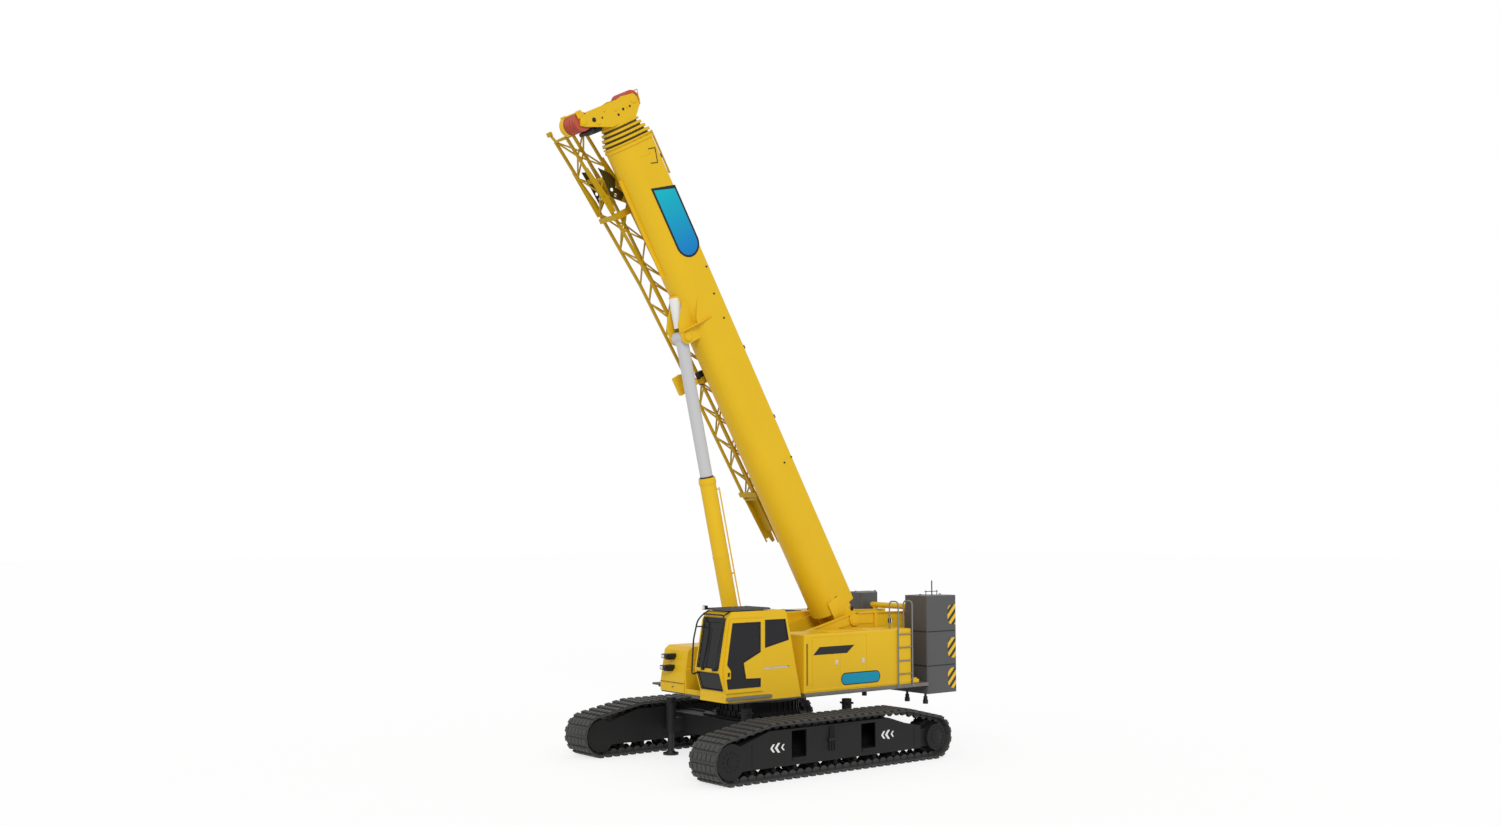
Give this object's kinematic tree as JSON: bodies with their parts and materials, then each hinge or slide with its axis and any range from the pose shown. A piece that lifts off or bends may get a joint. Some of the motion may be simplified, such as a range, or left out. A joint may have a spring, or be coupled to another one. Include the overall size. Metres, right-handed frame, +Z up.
{
  "type": "crawler crane",
  "caption": "Crawler crane with a luffing telescopic boom on a slewing deck, tracked undercarriage, side cab, stowed lattice jib and rear counterweights.",
  "frame": {"origin": "on the slewing axis at ground level, midway between the two tracks", "axes": "+Z up, +Y towards the counterweight at the rear, +X towards the cab side, which is the left of the machine"},
  "size_m": [5.54, 9.9631, 14.4294],
  "materials": {
    "yellow_paint": "semi gloss",
    "dark_paint": "satin",
    "grey_paint": "satin",
    "white_paint": "satin",
    "steel_track": "worn",
    "rod_chrome": "polished",
    "sheave_red": "satin",
    "glass": "clear",
    "black_plastic": "matt",
    "seat_fabric": "woven",
    "light_metal": "matt"
  },
  "bodies": {
    "undercarriage": {"car_body": "dark_paint", "drive_sprocket_left": "dark_paint", "drive_sprocket_right": "dark_paint", "slew_ring": "dark_paint", "track_frame_left": "dark_paint", "track_frame_right": "dark_paint", "track_left": "steel_track", "track_right": "steel_track", "track_rollers_left": "dark_paint", "track_rollers_right": "dark_paint"},
    "front_left_jack": {"jack_front_left": "grey_paint"},
    "front_right_jack": {"jack_front_right": "grey_paint"},
    "rear_left_jack": {"jack_rear_left": "grey_paint"},
    "rear_right_jack": {"jack_rear_right": "grey_paint"},
    "boom": {"boom_base": "yellow_paint", "boom_guide_rod": "white_paint", "jib_brackets": "yellow_paint", "jib_lattice": "yellow_paint"},
    "section_2": {"boom_section_2": "yellow_paint"},
    "section_3": {"boom_section_3": "yellow_paint"},
    "section_4": {"boom_section_4": "yellow_paint"},
    "section_5": {"boom_section_5": "yellow_paint", "boom_head": "yellow_paint"},
    "lower_sheave_set": {"lower_sheaves": "sheave_red"},
    "upper_sheave_set": {"upper_sheaves": "sheave_red"},
    "main_drum": {"main_winch_drum": "yellow_paint"},
    "auxiliary_drum": {"auxiliary_winch_drum": "yellow_paint"},
    "door": {"cab_door": "yellow_paint", "door_glass": "glass"},
    "cylinder_rod": {"lift_rod": "rod_chrome"},
    "cylinder_barrel": {"lift_barrel": "yellow_paint"},
    "superstructure": {"cab_floor": "dark_paint", "cab_front": "yellow_paint", "cab_glass": "glass", "cab_rear": "yellow_paint", "cab_roof": "yellow_paint", "cab_side_inner": "yellow_paint", "cab_side_outer": "yellow_paint", "control_console": "black_plastic", "counterweight_base": "grey_paint", "counterweight_lifters": "black_plastic", "counterweight_lower_left": "grey_paint", "counterweight_lower_right": "grey_paint", "counterweight_upper_left": "grey_paint", "counterweight_upper_right": "grey_paint", "cross_members": "yellow_paint", "cylinder_bracket": "yellow_paint", "front_box": "yellow_paint", "hood_left": "yellow_paint", "hood_right": "yellow_paint", "ladder": "yellow_paint", "main_plate_left": "yellow_paint", "main_plate_right": "yellow_paint", "operator_seat": "seat_fabric", "power_pack": "dark_paint", "roof_guard": "grey_paint", "sensor_mast": "light_metal", "side_decks": "dark_paint", "turntable_floor": "yellow_paint"}
  },
  "joints": [
    {"name": "slew", "type": "hinge", "parent": "undercarriage", "child": "superstructure", "pos_m": [0, 0, 1.42], "axis": [0, 0, 1], "continuous": true},
    {"name": "luff", "type": "hinge", "parent": "superstructure", "child": "boom", "pos_m": [0, 2.4, 2.98], "axis": [-1, 0, 0], "range_deg": [-60, 20]},
    {"name": "rod_tilt", "type": "hinge", "parent": "boom", "child": "cylinder_rod", "pos_m": [0, -2.1688, 9.2334], "axis": [-1, 0, 0], "range_deg": [-11.6, 4]},
    {"name": "barrel_slide", "type": "slide", "parent": "cylinder_rod", "child": "cylinder_barrel", "axis": [0, 0.224, -0.9746], "range_m": [-2.84, 0.96]},
    {"name": "telescope", "type": "slide", "parent": "boom", "child": "section_2", "axis": [0, -0.5, 0.866], "range_m": [0, 8.6]},
    {"name": "telescope_3", "type": "slide", "parent": "section_2", "child": "section_3", "axis": [0, -0.5, 0.866], "range_m": [0, 8.6]},
    {"name": "telescope_4", "type": "slide", "parent": "section_3", "child": "section_4", "axis": [0, -0.5, 0.866], "range_m": [0, 8.6]},
    {"name": "telescope_5", "type": "slide", "parent": "section_4", "child": "section_5", "axis": [0, -0.5, 0.866], "range_m": [0, 8.6]},
    {"name": "lower_sheaves_turn", "type": "hinge", "parent": "section_5", "child": "lower_sheave_set", "pos_m": [0, -4.91314, 13.52673], "axis": [-1, 0, 0], "continuous": true},
    {"name": "upper_sheaves_turn", "type": "hinge", "parent": "section_5", "child": "upper_sheave_set", "pos_m": [0, -3.68204, 14.2144], "axis": [-1, 0, 0], "continuous": true},
    {"name": "main_drum_turn", "type": "hinge", "parent": "superstructure", "child": "main_drum", "pos_m": [0, 3.4, 2.53], "axis": [-1, 0, 0], "continuous": true},
    {"name": "auxiliary_drum_turn", "type": "hinge", "parent": "superstructure", "child": "auxiliary_drum", "pos_m": [0, 4.06, 2.59], "axis": [-1, 0, 0], "continuous": true},
    {"name": "door_slide", "type": "slide", "parent": "superstructure", "child": "door", "axis": [0, 1, 0], "range_m": [0, 0.65]},
    {"name": "front_left_jack_slide", "type": "slide", "parent": "undercarriage", "child": "front_left_jack", "axis": [0, 0, 1], "range_m": [-0.2, 0.35]},
    {"name": "front_right_jack_slide", "type": "slide", "parent": "undercarriage", "child": "front_right_jack", "axis": [0, 0, 1], "range_m": [-0.2, 0.35]},
    {"name": "rear_left_jack_slide", "type": "slide", "parent": "undercarriage", "child": "rear_left_jack", "axis": [0, 0, 1], "range_m": [-0.2, 0.35]},
    {"name": "rear_right_jack_slide", "type": "slide", "parent": "undercarriage", "child": "rear_right_jack", "axis": [0, 0, 1], "range_m": [-0.2, 0.35]}
  ],
  "couplings": [
    {"joint": "rod_tilt", "follows": "luff", "ratio": 0.19},
    {"joint": "barrel_slide", "follows": "luff", "m_per_rad": 2.7},
    {"joint": "telescope_3", "follows": "telescope", "ratio": 1},
    {"joint": "telescope_4", "follows": "telescope", "ratio": 1},
    {"joint": "telescope_5", "follows": "telescope", "ratio": 1}
  ]
}
